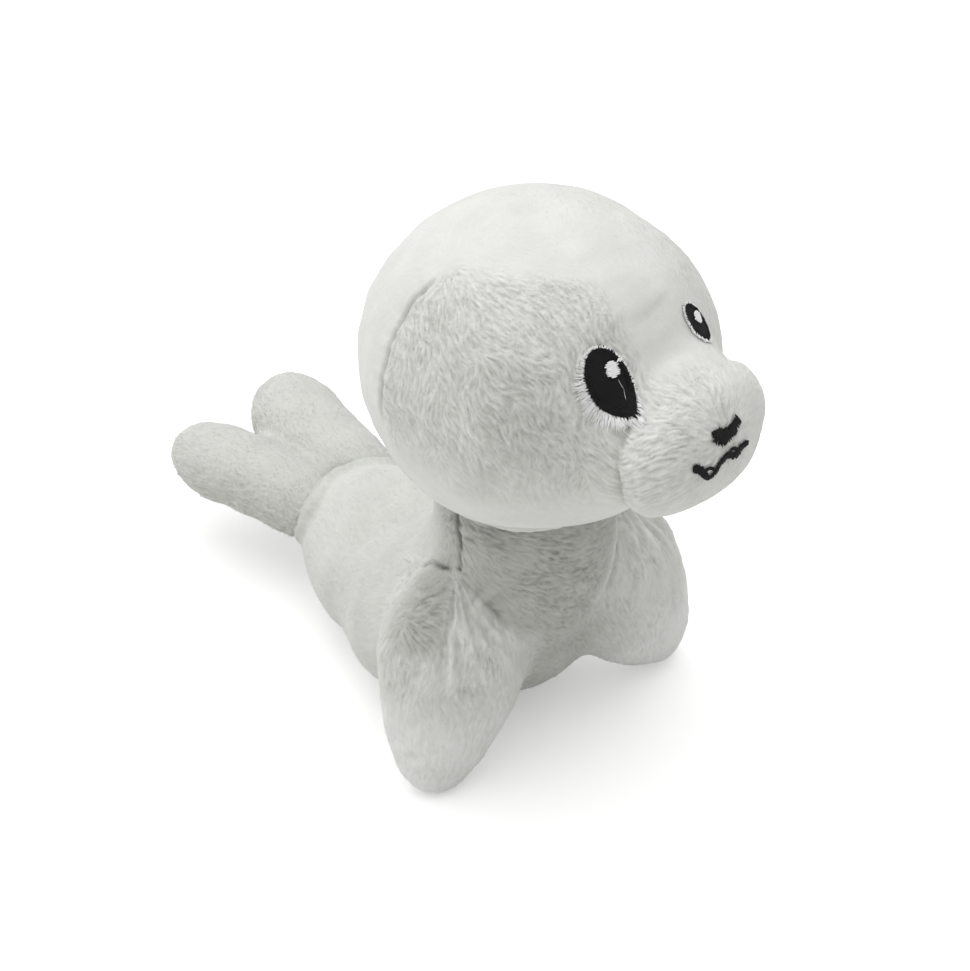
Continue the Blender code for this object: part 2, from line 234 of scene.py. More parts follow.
def limb_share(points):
    """How far each point of the body belongs to a fore flipper, from 0 to 1."""
    side = np.where(points[:, 0] > 0, 1.0, -1.0)
    ones = np.ones(len(points))
    shoulder = np.stack([side * 16.0, ones * -19.0, ones * 41.0], axis=1) * MM
    leg = np.stack([side * 18.0, ones * -8.5, ones * -42.0], axis=1) * MM
    share = np.clip(np.sum((points - shoulder) * leg, axis=1) / np.sum(leg * leg, axis=1), 0, 1)
    far = np.linalg.norm(points - shoulder - share[:, None] * leg, axis=1)
    across = np.array((12.0, 16.8, 20.7, 23.6, 26.0, 31.0)) * MM
    line = np.interp(np.abs(points[:, 0]), across, np.array((35.0, 42.0, 49.0, 45.5, 43.5, 37.0)) * MM)
    return np.clip((19 * MM - far) / (6 * MM), 0, 1) * np.clip((line - points[:, 2]) / (3 * MM), 0, 1)


def body_nap(points):
    """Across the chest, back along the belly and the rump, and from each shoulder to its toe."""
    ones = np.ones(len(points))
    spoke = points - NAPE
    around = np.stack([0 * ones, -spoke[:, 2], spoke[:, 1]], axis=1)
    behind = np.clip((points[:, 1] - NAPE[1]) / (12 * MM), 0, 1)[:, None]
    trunk = unit(unit(around) * (1 - behind) + np.array((0, 1.0, 0)) * behind)
    slope = np.clip((points[:, 2] - 50 * MM) / (25 * MM), -0.8, 0.3) - 0.5
    sideways = unit(np.stack([ones, 0 * ones, slope], axis=1))
    chest = np.clip((-points[:, 1] - 16 * MM) / (3 * MM), 0, 1)[:, None]
    trunk = unit(trunk * (1 - chest) + sideways * chest)
    side = np.where(points[:, 0] > 0, 1.0, -1.0)
    shoulder = np.stack([side * 12.0, ones * -12.0, ones * 75.0], axis=1) * MM
    limb = limb_share(points)[:, None]
    return unit(trunk * (1 - limb) + unit(points - shoulder) * limb)


def body_brushing(points):
    """The chest and the fore flippers are brushed in patches, and the rest is nearly smooth."""
    chest = np.clip((-points[:, 1] - 14 * MM) / (6 * MM), 0, 1)
    upper = np.clip((points[:, 2] - 14 * MM) / (14 * MM), 0, 1)
    patch = np.clip(0.55 + 0.9 * cloud(points, 7 * MM, 61), 0.15, 1)
    return 0.25 + 0.75 * patch * np.maximum(0.8 * chest, (0.6 + 0.4 * upper) * limb_share(points))


def tail_brushing(points):
    """The upper side of the tail is smoother than its sides."""
    return np.clip((32 * MM - points[:, 2]) / (14 * MM), 0.3, 1)


def tail_nap(points):
    """Back from the rump, out to the tip of each lobe."""
    side = np.where(points[:, 0] > 0, 1.0, -1.0)
    return unit(np.stack([side * 0.2, np.ones(len(points)), np.zeros(len(points))], axis=1))


def lie(points, normals, nap, curl, seed):
    """The pile's direction in the surface, with curl as the most that it strays, in radians."""
    along = nap(points)
    along = unit(along - normals * np.sum(along * normals, axis=1, keepdims=True))
    across = np.cross(normals, along)
    most = curl(points) if callable(curl) else curl
    stray = most * (cloud(points, 6 * MM, seed) + 0.6 * cloud(points, 2.6 * MM, seed + 1))
    return along * np.cos(stray)[:, None] + across * np.sin(stray)[:, None]


def streaks(points, normals, nap, curl, width, seed):
    """Brushed ridges: noise smeared along the pile, about width across and several times as long."""
    total = cloud(points, width, seed)
    for way in (-1, 1):
        at = points
        for _ in range(4):
            at = at + way * 0.45 * width * lie(at, normals, nap, curl, seed + 7)
            total = total + cloud(at, width, seed)
    return total / 9 * 2.6


# Bags

def select_only(obj):
    """Makes the object the only selected one, and the active one."""
    bpy.ops.object.select_all(action="DESELECT")
    obj.select_set(True)
    bpy.context.view_layer.objects.active = obj


def apply_modifier(obj, name):
    """Turns a modifier into the object's own mesh."""
    select_only(obj)
    bpy.ops.object.modifier_apply(modifier=name)


def merged_copy(nodes, name):
    """The CAD nodes' meshes as closed skins in one new object."""
    bm = bmesh.new()
    for node in nodes:
        bm.from_mesh(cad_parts[node].data)
    bmesh.ops.remove_doubles(bm, verts=bm.verts[:], dist=1e-6)
    bmesh.ops.recalc_face_normals(bm, faces=bm.faces[:])
    mesh = bpy.data.meshes.new(name)
    bm.to_mesh(mesh)
    tree = BVHTree.FromBMesh(bm)
    bm.free()
    obj = bpy.data.objects.new(name, mesh)
    scene.collection.objects.link(obj)
    return obj, tree


def positions(mesh):
    """Where the mesh's points are, one in each row."""
    flat = np.empty(len(mesh.vertices) * 3)
    mesh.vertices.foreach_get("co", flat)
    return flat.reshape(-1, 3)


def set_positions(mesh, points):
    """Moves the mesh's points to these rows."""
    mesh.vertices.foreach_set("co", points.astype(np.float32).ravel())
    mesh.update()


def vertex_normals(mesh):
    """Which way the mesh faces at each of its points."""
    flat = np.empty(len(mesh.vertices) * 3, np.float32)
    mesh.vertex_normals.foreach_get("vector", flat)
    return unit(flat.reshape(-1, 3).astype(float))


def surface_tree(mesh):
    """A mesh's surface, for distances to it and rays onto it."""
    places = [vert.co.copy() for vert in mesh.vertices]
    return BVHTree.FromPolygons(places, [tuple(face.vertices) for face in mesh.polygons])


def smooth(bm, verts, rounds=1):
    """Draws each vertex halfway to the middle of its neighbours, several times."""
    for _ in range(rounds):
        bmesh.ops.smooth_vert(bm, verts=verts, factor=0.5, use_axis_x=True, use_axis_y=True, use_axis_z=True)


def sewn_bag(node, name, seams):
    """The bag before it is filled: an even grid, under the pile's tips and let into its neighbours."""
    obj, tree = merged_copy(SOLIDS[node], name)
    remesh = obj.modifiers.new("remesh", "REMESH")
    remesh.mode = "VOXEL"
    remesh.voxel_size = BAG_GRID[node]
    apply_modifier(obj, "remesh")
    bm = bmesh.new()
    bm.from_mesh(obj.data)
    smooth(bm, bm.verts[:], 6)
    # Back onto the solids, with a fillet where two of them meet inside the bag
    inner = []
    for vert in bm.verts:
        gaps = sorted(solid_trees[part].find_nearest(vert.co)[3] for part in SOLIDS[node])
        fillet = max(0.0, 1 - gaps[1] / (4 * MM)) if len(gaps) > 1 else 0.0
        vert.co = vert.co.lerp(tree.find_nearest(vert.co)[0], 0.8 * (1 - fillet))
        if fillet > 0:
            inner.append(vert)
    if inner:
        smooth(bm, inner, 10)
    smooth(bm, bm.verts[:])
    bm.normal_update()
    moves = []
    for vert in bm.verts:
        gap = min(solid_trees[other].find_nearest(vert.co)[3] for other in SEWN_TO[node])
        joined = min(max(1.8 - gap / (0.5 * MM), 0.0), 1.0)
        moves.append(vert.normal * (joined * SEAM_LET_IN - (1 - joined) * PILE_DEPTH))
    for vert, move in zip(bm.verts, moves):
        vert.co += move
    bm.to_mesh(obj.data)
    bm.free()
    gathered = obj.vertex_groups.new(name="gathered")
    points = positions(obj.data)
    pull = np.zeros(len(points))
    for line in seams:
        far = seam_distance(points, line["path"])[0]
        pull = np.maximum(pull, np.exp(-(far / (2.5 * MM)) ** 2))
    for index in np.nonzero(pull > 0.05)[0]:
        gathered.add([int(index)], float(pull[index]), "REPLACE")
    return obj


def evened(mesh, values, rounds):
    """Values on a mesh's points, each averaged with its neighbours' several times."""
    ends = np.empty(len(mesh.edges) * 2, np.int32)
    mesh.edges.foreach_get("vertices", ends)
    first, second = ends.reshape(-1, 2).T
    count = 1 + np.bincount(ends, minlength=len(values))[:, None]
    for _ in range(rounds):
        total = values.copy()
        np.add.at(total, first, values[second])
        np.add.at(total, second, values[first])
        values = total / count
    return values


def fill_bags(bags):
    """Air pressure swells the bags against their seams: none changes its size, or moves past MOST_SWELL."""
    starts = {}
    for obj in bags:
        starts[obj.name] = positions(obj.data)
        cloth = obj.modifiers.new("cloth", "CLOTH")
        cloth.settings.quality = 4
        cloth.settings.mass = 0.2
        cloth.settings.tension_stiffness = 12
        cloth.settings.compression_stiffness = 12
        cloth.settings.bending_stiffness = 0.4
        cloth.settings.use_pressure = True
        cloth.settings.uniform_pressure_force = 4.0
        cloth.settings.effector_weights.gravity = 0
        cloth.settings.vertex_group_shrink = "gathered"
        cloth.settings.shrink_min = 0.0
        cloth.settings.shrink_max = 0.3
        cloth.collision_settings.use_collision = False
        cloth.collision_settings.use_self_collision = False
        cloth.point_cache.frame_start = 1
        cloth.point_cache.frame_end = SIM_FRAMES
    for number in range(1, SIM_FRAMES + 1):
        scene.frame_set(number)
    graph = bpy.context.evaluated_depsgraph_get()
    for obj in bags:
        evaluated = obj.evaluated_get(graph)
        swollen = positions(evaluated.to_mesh())
        evaluated.to_mesh_clear()
        move = evened(obj.data, swollen - starts[obj.name], rounds=8)
        normals = vertex_normals(obj.data)
        move = move - normals * np.mean(np.sum(move * normals, axis=1))
        far = np.linalg.norm(move, axis=1, keepdims=True)
        move = move * np.minimum(1, MOST_SWELL / np.maximum(far, 1e-9))
        obj.modifiers.remove(obj.modifiers["cloth"])
        set_positions(obj.data, starts[obj.name] + move)
    scene.frame_set(1)


def seam_distance(points, path):
    """How far each point is from a seam, and how far along the seam its nearest spot lies."""
    nearest = np.full(len(points), 1e3)
    along = np.zeros(len(points))
    run = 0.0
    for start, end in zip(path, path[1:]):
        start = np.array(start) * MM
        leg = np.array(end) * MM - start
        size = max(np.linalg.norm(leg), 1e-6)
        share = np.clip((points - start) @ leg / size ** 2, 0, 1)
        far = np.linalg.norm(points - start - share[:, None] * leg, axis=1)
        closer = far < nearest
        nearest = np.where(closer, far, nearest)
        along = np.where(closer, run + share * size, along)
        run += size
    return nearest, along


def smooth_path(path, steps=5):
    """The seam's few marks as a smooth line through all of them."""
    marks = [Vector(mark) for mark in path]
    ends = [marks[0] * 2 - marks[1]] + marks + [marks[-1] * 2 - marks[-2]]
    line = []
    for a, b, c, d in zip(ends, ends[1:], ends[2:], ends[3:]):
        for i in range(steps):
            t = i / steps
            bend = a * 2 - b * 5 + c * 4 - d
            twist = b * 3 - a - c * 3 + d
            line.append((b * 2 + (c - a) * t + bend * t * t + twist * t ** 3) / 2)
    line.append(marks[-1])
    return line


def mirrored(path):
    """The same seam on the other side of the body."""
    return [(-x, y, z) for x, y, z in path]


def mirrored_on_head(path):
    """The same seam on the other side of the turned head."""
    turn = Matrix.Rotation(HEAD_TURN, 4, "Z")
    centre = HEAD_CENTRE / MM
    flip = Matrix.Translation(centre) @ turn @ Matrix.Diagonal((-1, 1, 1, 1)) @ turn.inverted()
    flip = flip @ Matrix.Translation(-centre)
    return [tuple(flip @ Vector(mark)) for mark in path]


def seam(path, depth, width, pucker=0.0, reach=4.0, dark=0.0):
    """A sewn line, or a raised fold where depth is below zero: sizes in mm, dark in shades of the pile. Dark
    is painted shade along the line, and a painted highlight where it is below zero.
    """
    return {
        "path": smooth_path(path), "depth": depth * MM, "width": width * MM,
        "pucker": pucker * MM, "reach": reach * MM, "dark": dark,
    }


def fan_folds(points, fan, seed):
    """Small folds that run out from one corner of a seam, fading with distance."""
    corner, axis = np.array(fan[0]) * MM, Vector(fan[1]).normalized()
    side = Vector((0, 0, 1)).cross(axis).normalized()
    top = axis.cross(side)
    away = points - corner
    angle = np.arctan2(away @ np.array(top), away @ np.array(side))
    far = np.linalg.norm(away, axis=1)
    fold = cloud(np.stack([angle / 0.09, far / (7 * MM), np.zeros(len(far))], axis=1), 1.0, seed)
    return fold * np.clip(far / (4 * MM), 0, 1) * np.exp(-(far / (fan[2] * MM)) ** 3)


# Seams and folds, as marks along them in mm: a pair is given by the one on the seal's right
REAR_SEAM = [(-35.1, -16.2, 90), (-34.6, -15.2, 99), (-33.4, -15.1, 104), (-31.3, -14.2, 108.5)]
REAR_SEAM += [(-29.0, -14.4, 112), (-25.8, -15.2, 116.3), (-21.1, -17.7, 120.8), (-16.1, -19.6, 123.9)]
CROWN_DIMPLE = [(-0.4, -15.5, 126.9), (-0.3, -19, 127.6), (2.9, -22.8, 127.5)]
CHEST_SEAM = [(-18.5, -20.5, 70), (-19.9, -21.2, 62), (-20.6, -21.5, 50.8), (-20.6, -21.2, 46.5)]
MUZZLE_CREASE = [(-8.5, -59.5, 105.5), (-11.3, -60.2, 102.6), (-14.0, -60.4, 99), (-15.2, -61.2, 96.5)]
MUZZLE_CREASE += [(-15.6, -62.5, 92.5), (-14.0, -62.0, 88.0), (-10.0, -60.5, 84.5)]
# The muzzle panel bulges on its own side of the crease
MUZZLE_LIP = [(x + 2.4, y - 1.6, z) for x, y, z in MUZZLE_CREASE[1:5]]
SHOULDER_SEAM = [(-31.2, -10.9, 34.8), (-28.7, -11.1, 39.3), (-26.0, -11.2, 41.7), (-23.6, -11.4, 43.3)]
SHOULDER_SEAM += [(-20.8, -14.0, 45.5), (-20.6, -21.0, 47.2)]
SHOULDER_FRONT = [(-20.6, -21.0, 47.2), (-19.4, -27.0, 44.6), (-16.8, -30.4, 40.4), (-14.0, -32.3, 36.4)]
# A raised ridge down the chest, painted paler as a highlight where the chest's side faces the light
CHEST_RIDGE_HIGHLIGHT = [(15.0, -29.5, 52.0), (13.8, -31.8, 46.0), (11.0, -33.5, 38.5), (7.0, -34.5, 32.0)]
TOE_FOLD = [(-39.0, -26.0, 11.3), (-35.7, -30.4, 13.7)]
KNEE_FOLD = [(-29.5, -32.0, 29.1), (-26.0, -34.0, 26.5), (-22.7, -35.0, 24.4)]

# Each seam's dark number paints shade along its groove; the chest ridge's negative one paints a highlight
# along it
SEAMS = {
    "head": [
        seam(REAR_SEAM[:-1], 0.7, 0.6, 0.25, 3.0, 0.5),
        seam(mirrored_on_head(REAR_SEAM[:-2]), 0.7, 0.6, 0.25, 3.0, 0.5),
        seam(CROWN_DIMPLE, 0.15, 0.9),
        seam(MUZZLE_CREASE, 1.1, 2.0, 0.2, 3.0, 0.10),
        seam(MUZZLE_CREASE, 0.5, 0.7, dark=0.25),
        seam(MUZZLE_LIP, -0.5, 1.6),
        seam(mirrored_on_head(MUZZLE_CREASE), 1.1, 2.0, 0.2, 3.0, 0.10),
        seam(mirrored_on_head(MUZZLE_LIP), -0.5, 1.6),
    ],
    "body": [
        seam(CHEST_SEAM, 0.6, 0.5, 0.28, 6.0, 0.45),
        seam(mirrored(CHEST_SEAM), 0.6, 0.5, 0.28, 6.0, 0.45),
        seam(SHOULDER_SEAM, 1.0, 0.6, 0.2, 3.0, 0.75),
        seam(mirrored(SHOULDER_SEAM), 1.0, 0.6, 0.2, 3.0, 0.75),
        seam(SHOULDER_FRONT, 0.6, 0.6, 0.3, 4.0, 0.4),
        seam(mirrored(SHOULDER_FRONT), 0.6, 0.6, 0.3, 4.0, 0.4),
        seam(CHEST_RIDGE_HIGHLIGHT, -0.5, 2.2, dark=-0.45),
        seam(TOE_FOLD, 0.6, 1.2, dark=0.15),
        seam(KNEE_FOLD, 0.6, 1.2, dark=0.15),
    ],
    "tail": [],
}
# Where the shoulder's folds fan out from, the way that the fabric faces there, and their reach in mm
FANS = (
    ((-20.6, -21.0, 47.5), (-0.6, -0.6, 0.5), 24.0),
    ((20.6, -21.0, 47.5), (0.6, -0.6, 0.5), 24.0),
)
# A darker patch in the middle of each cheek and a paler one behind it: the middle and the reach in mm, and
# shades of the pile
CHEEK_PATCHES = (((28.0, -17.0, 11.0), 12.0, -0.20), ((34.0, 0.0, 8.0), 9.0, 0.10))
# Where a bag is fuller than its solid: the middle, the reach and the push, in mm
FULLER = {
    "body": [
        ((3.0, -22.0, 12.0), 12.0, (0.5, -1.8, -1.8)),
        ((34.0, -27.0, 16.0), 22.0, (2.2, -0.6, 0.6)),
        ((-20.0, -20.0, 46.0), 9.0, (0.4, -0.6, 1.2)),
    ],
    "tail": [((-12.0, 70.0, 14.0), 15.0, (-1.9, -0.3, -0.2)), ((14.0, 76.0, 22.0), 12.0, (0.0, 1.2, 0.6))],
}


def sewn_gap(points, node):
    """How far each point is from the bags sewn to this one, and the spot on them that it is nearest to."""
    gaps = np.full(len(points), 1.0)
    spots = np.zeros((len(points), 3))
    for i, point in enumerate(points):
        for other in SEWN_TO[node]:
            spot, _, _, gap = solid_trees[other].find_nearest(point)
            if gap < gaps[i]:
                gaps[i] = gap
                spots[i] = spot
    return gaps, spots


def seam_relief(points, line, seed):
    """How much a seam raises each point, and how much paler it makes the pile there: painted shade in its
    groove and in the puckers' hollows, painted light on the puckers' crests.
    """
    marks = [np.array(mark) * MM for mark in line["path"]]
    on_skin = [points[np.argmin(np.sum((points - mark) ** 2, axis=1))] / MM for mark in marks]
    far, along = seam_distance(points, on_skin)
    fade = np.clip(np.minimum(along, along.max() - along) / (2.5 * MM), 0.1, 1)
    groove = fade * np.exp(-(far / line["width"]) ** 2)
    fold = cloud(np.stack([along, far * 0.15, np.zeros(len(far))], axis=1), 1.6 * MM, seed)
    fold = line["pucker"] * fold * np.exp(-far / line["reach"])
    return fold - line["depth"] * groove, 0.5 / MM * fold - line["dark"] * groove


def head_shade(points, share):
    """The brushed parts are darker than the smooth ones, more so where the pile curls on the lower cheeks,
    and each cheek has a darker patch in its middle and a paler one behind it.
    """
    shade = 0.15 - 0.15 * share - 0.15 * (head_curl(points) - 0.22) * share
    cheek = to_head(points)
    cheek[:, 0] = np.abs(cheek[:, 0])
    for middle, reach, change in CHEEK_PATCHES:
        near = np.linalg.norm(cheek - np.array(middle) * MM, axis=1) / (reach * MM)
        shade = shade + change * np.exp(-near ** 2)
    return shade


def body_painted_light_and_shade(points):
    """Painted shade on the chest and next to the head, where the head shades them; the fore flippers a little
    paler, and paler still toward the toes as painted light from the table.
    """
    limb = limb_share(points)
    toe = np.clip((26 * MM - points[:, 2]) / (14 * MM), 0, 1)
    chest = np.clip((-points[:, 1] - 12 * MM) / (8 * MM), 0, 1)
    near_head = np.linalg.norm(points - np.array(HEAD_CENTRE), axis=1) - 36 * MM
    neck = np.exp(-np.maximum(near_head, 0) / (9 * MM))
    return (0.12 + 0.34 * toe) * limb - 0.44 * chest * (1 - limb) - 0.20 * neck


def tail_painted_shade(points, gaps):
    """Painted shade on the lower side of the tail's root, next to the rump."""
    low = np.clip((34 * MM - points[:, 2]) / (10 * MM), 0, 1)
    return -0.25 * np.exp(-gaps / (9 * MM)) * low


def dressed(obj, node, nap, brushing, curl, ridge, seed):
    """Two subdivisions, then lumps of filling, seams and the brushed pile, all as real shape."""
    refine = obj.modifiers.new("refine", "SUBSURF")
    refine.levels = 2
    refine.render_levels = 2
    apply_modifier(obj, "refine")
    mesh = obj.data
    mesh.shade_smooth()
    points = positions(mesh)
    normals = vertex_normals(mesh)
    share = brushing(points)
    gaps, spots = sewn_gap(points, node)
    height = 0.45 * MM * cloud(points, 14 * MM, seed) + 0.25 * MM * cloud(points, 5 * MM, seed + 1)
    shade = BASE_SHADE[node] + 0.07 * cloud(points, 6 * MM, seed + 4)
    if node == "head":
        shade = shade + head_shade(points, share)
    elif node == "body":
        shade = shade + body_painted_light_and_shade(points)
        # Folds fanning from each shoulder, with painted shade in their hollows and painted light on their
        # crests
        for fan in FANS:
            folds = fan_folds(points, fan, seed + 9) * limb_share(points)
            height = height + 0.65 * MM * folds
            shade = shade + 0.20 * folds
    else:
        shade = shade + tail_painted_shade(points, gaps)
    # Seams and folds add painted shade in their grooves and the puckers' hollows, and painted light on the
    # puckers' crests and the chest ridge
    for line in SEAMS[node]:
        raised, paler = seam_relief(points, line, seed + 2)
        height = height + raised
        shade = shade + paler
    # The fabric dips and gathers where the bag is sewn to its neighbours, with painted shade in the crease
    # there
    gather = cloud(spots, 2.4 * MM, seed + 5) + 0.5 * cloud(spots, 1.2 * MM, seed + 6)
    height = height + GATHER[node] * gather * np.exp(-gaps / (4.5 * MM))
    height = height - 0.5 * MM * np.exp(-(gaps / (1.3 * MM)) ** 2)
    shade = shade - 0.30 * np.exp(-(gaps / (1.2 * MM)) ** 2)
    brushed = ridge * streaks(points, normals, nap, curl, RIDGE_WIDTH, seed + 3) * share
    points = points + normals * (height + brushed)[:, None]
    for middle, reach, push in FULLER.get(node, ()):
        near = np.exp(-(np.linalg.norm(points - np.array(middle) * MM, axis=1) / (reach * MM)) ** 2)
        points = points + near[:, None] * np.array(push) * MM
    points[:, 2] = np.maximum(points[:, 2], 0.15 * MM)
    set_positions(mesh, points)
    # The brushed ridges' crests are painted lighter and their hollows darker, painted light and shade over
    # their real relief
    tone = np.clip(0.3 + 0.7 * (shade + 1.4 / MM * brushed), 0, 1)
    mesh.attributes.new("tone", "FLOAT", "POINT").data.foreach_set("value", tone.astype(np.float32))


# Loose pile

def fibre_shape():
    """One fibre as a flat blade that narrows to its tip: x across, y along from 0 to 1."""
    bm = bmesh.new()
    bmesh.ops.create_grid(bm, x_segments=1, y_segments=2, size=0.5)
    bmesh.ops.translate(bm, verts=bm.verts[:], vec=(0, 0.5, 0))
    tips = [vert for vert in bm.verts if vert.co.y > 0.9]
    bmesh.ops.pointmerge(bm, verts=tips, merge_co=(0, 1, 0))
    bmesh.ops.triangulate(bm, faces=bm.faces[:])
    bm.verts.index_update()
    points = np.array([vert.co[:] for vert in bm.verts])
    faces = np.array([[vert.index for vert in face.verts] for face in bm.faces])
    bm.free()
    return points, faces


def scattered(mesh, density, seed):
    """Even random spots on a mesh: place, outward direction and tone of each."""
    mesh.calc_loop_triangles()
    corners = np.empty(len(mesh.loop_triangles) * 3, np.int32)
    mesh.loop_triangles.foreach_get("vertices", corners)
    corners = corners.reshape(-1, 3)
    points = positions(mesh)
    normals = vertex_normals(mesh)
    tone = np.empty(len(points), np.float32)
    mesh.attributes["tone"].data.foreach_get("value", tone)
    sides = points[corners]
    area = np.linalg.norm(np.cross(sides[:, 1] - sides[:, 0], sides[:, 2] - sides[:, 0]), axis=1) / 2
    chance = np.random.default_rng(seed)
    count = int(area.sum() * density)
    chosen = chance.choice(len(area), count, p=area / area.sum())
    share = chance.random((count, 2))
    over = share.sum(axis=1) > 1
    share[over] = 1 - share[over]
    weight = np.concatenate([1 - share.sum(axis=1, keepdims=True), share], axis=1)
    picked = corners[chosen]
    place = np.einsum("ij,ijk->ik", weight, points[picked])
    facing = unit(np.einsum("ij,ijk->ik", weight, normals[picked]))
    return place, facing, np.einsum("ij,ij->i", weight, tone[picked]), chance


def inside_solid(points, node):
    """Whether each point lies inside this CAD node."""
    found = np.zeros(len(points), bool)
    for i, point in enumerate(points):
        spot, facing, _, gap = solid_trees[node].find_nearest(point)
        found[i] = gap < 12 * MM and (Vector(point) - spot).dot(facing) < 0
    return found


def loose_pile(obj, node, nap, brushing, curl, seed):
    """Fibres that stand a little off the bag and lie along the nap, shorter and paler round the stitching."""
    place, facing, tone, chance = scattered(obj.data, FIBRES, seed)
    keep = place[:, 2] > 0.6 * MM
    for other in SEWN_TO[node]:
        keep &= ~inside_solid(place, other)
    if node == "head":
        keep &= stitched_gap(place) > 0.3 * MM
    place, facing, tone = place[keep], facing[keep], tone[keep]
    count = len(place)
    along = lie(place, facing, nap, curl, seed + 10)
    swing = chance.normal(0, 0.30, count)
    halo = np.zeros(count)
    if node == "head":
        halo = np.exp(-(stitched_gap(place) / (1.3 * MM)) ** 2)
    across = np.cross(facing, along)
    along = unit(along * np.cos(swing)[:, None] + across * np.sin(swing)[:, None])
    across = np.cross(facing, along)
    size = PILE_LENGTH[node] * chance.uniform(0.6, 1.2, count)
    size = size * (1 - 0.45 * halo) * (0.5 + 0.5 * brushing(place))
    rise = np.clip(chance.normal(0.42, 0.12, count), 0.1, 0.9)
    wide = 0.12 * MM * chance.uniform(0.7, 1.3, count)
    shape, faces = fibre_shape()
    bend = shape[:, 1] * (1.25 - 0.25 * shape[:, 1])
    points = (
        place[:, None, :]
        - facing[:, None, :] * 0.10 * MM
        + along[:, None, :] * (size[:, None] * shape[None, :, 1])[..., None]
        + facing[:, None, :] * (size[:, None] * rise[:, None] * bend[None, :])[..., None]
        + across[:, None, :] * (wide[:, None] * shape[None, :, 0])[..., None]
    ).reshape(-1, 3)
    points[:, 2] = np.maximum(points[:, 2], 0.1 * MM)
    corners = (faces[None] + (np.arange(count) * len(shape))[:, None, None]).reshape(-1, 3)
    mesh = bpy.data.meshes.new(obj.name + "_pile")
    mesh.vertices.add(len(points))
    mesh.loops.add(corners.size)
    mesh.polygons.add(len(corners))
    mesh.vertices.foreach_set("co", points.astype(np.float32).ravel())
    mesh.loops.foreach_set("vertex_index", corners.astype(np.int32).ravel())
    mesh.polygons.foreach_set("loop_start", np.arange(0, corners.size, 3, dtype=np.int32))
    mesh.update(calc_edges=True)
    mesh.validate()
    mesh.shade_smooth()
    # Each fibre's tip is a little lighter than its root, as painted light; fibres by the eyes are paler, as
    # the white threads there are
    shade = tone + chance.uniform(-0.03, 0.03, count)
    shade = np.clip(shade[:, None] + 0.04 * shape[None, :, 1] + 0.3 * halo[:, None], 0, 1)
    mesh.attributes.new("tone", "FLOAT", "POINT").data.foreach_set("value", shade.astype(np.float32).ravel())
    pile = bpy.data.objects.new(obj.name + "_pile", mesh)
    scene.collection.objects.link(pile)
    return pile


# Materials

def linear(code):
    """An sRGB hex colour as the linear numbers that a shader takes."""
    parts = [int(code[i:i + 2], 16) / 255 for i in (1, 3, 5)]
    parts = [part / 12.92 if part <= 0.04045 else ((part + 0.055) / 1.055) ** 2.4 for part in parts]
    return (*parts, 1.0)


def add(tree, kind, settings=None, links=None):
    """Adds a node: settings are its properties or unlinked inputs, links are input name to output socket."""
    node = tree.nodes.new(kind)
    for key, value in (settings or {}).items():
        if isinstance(key, str) and hasattr(node, key):
            setattr(node, key, value)
        else:
            node.inputs[key].default_value = value
    for key, source in (links or {}).items():
        tree.links.new(source, node.inputs[key])
    return node


def new_material(name):
    """A material without nodes, and its node tree."""
    made = bpy.data.materials.new(name)
    made.use_nodes = True
    made.node_tree.nodes.clear()
    return made, made.node_tree


def polyester_minky(name):
    """Knitted polyester with a short brushed pile: matt, with a soft pale sheen at grazing angles."""
    made, tree = new_material(name)
    where = add(tree, "ShaderNodeTexCoord").outputs["Object"]
    tone = add(tree, "ShaderNodeAttribute", {"attribute_name": "tone"})
    # Faint clouds in the colour, 11 mm across
    cloudy = add(tree, "ShaderNodeTexNoise", {"Scale": 90.0, "Detail": 3.0}, {"Vector": where})
    ramp = add(tree, "ShaderNodeValToRGB", {}, {"Fac": tone.outputs["Fac"]})
    ramp.color_ramp.elements[0].color = linear("#7A7B76")
    ramp.color_ramp.elements[1].color = linear("#F6F6F4")
    for place, colour in ((0.30, "#BDBEB8"), (0.73, "#E2E3DE")):
        ramp.color_ramp.elements.new(place).color = linear(colour)
    blend = add(tree, "ShaderNodeMix", {"data_type": "RGBA", "blend_type": "MULTIPLY"})
    blend.inputs[0].default_value = 0.10
    tree.links.new(ramp.outputs["Color"], blend.inputs[6])
    tree.links.new(cloudy.outputs["Fac"], blend.inputs[7])
    # Fibre ends, about 0.45 mm apart
    grain = add(tree, "ShaderNodeTexNoise", {"Scale": 2200.0, "Detail": 2.0}, {"Vector": where})
    bump = add(
        tree, "ShaderNodeBump", {"Strength": 0.35, "Distance": 0.2 * MM}, {"Height": grain.outputs["Fac"]}
    )
    shader = add(
        tree,
        "ShaderNodeBsdfPrincipled",
        {"Roughness": 0.95, "Sheen Weight": 0.35, "Sheen Roughness": 0.5, "Specular IOR Level": 0.1},
        {"Base Color": blend.outputs[2], "Normal": bump.outputs["Normal"]},
    )
    add(tree, "ShaderNodeOutputMaterial", {}, {"Surface": shader.outputs["BSDF"]})
    return made


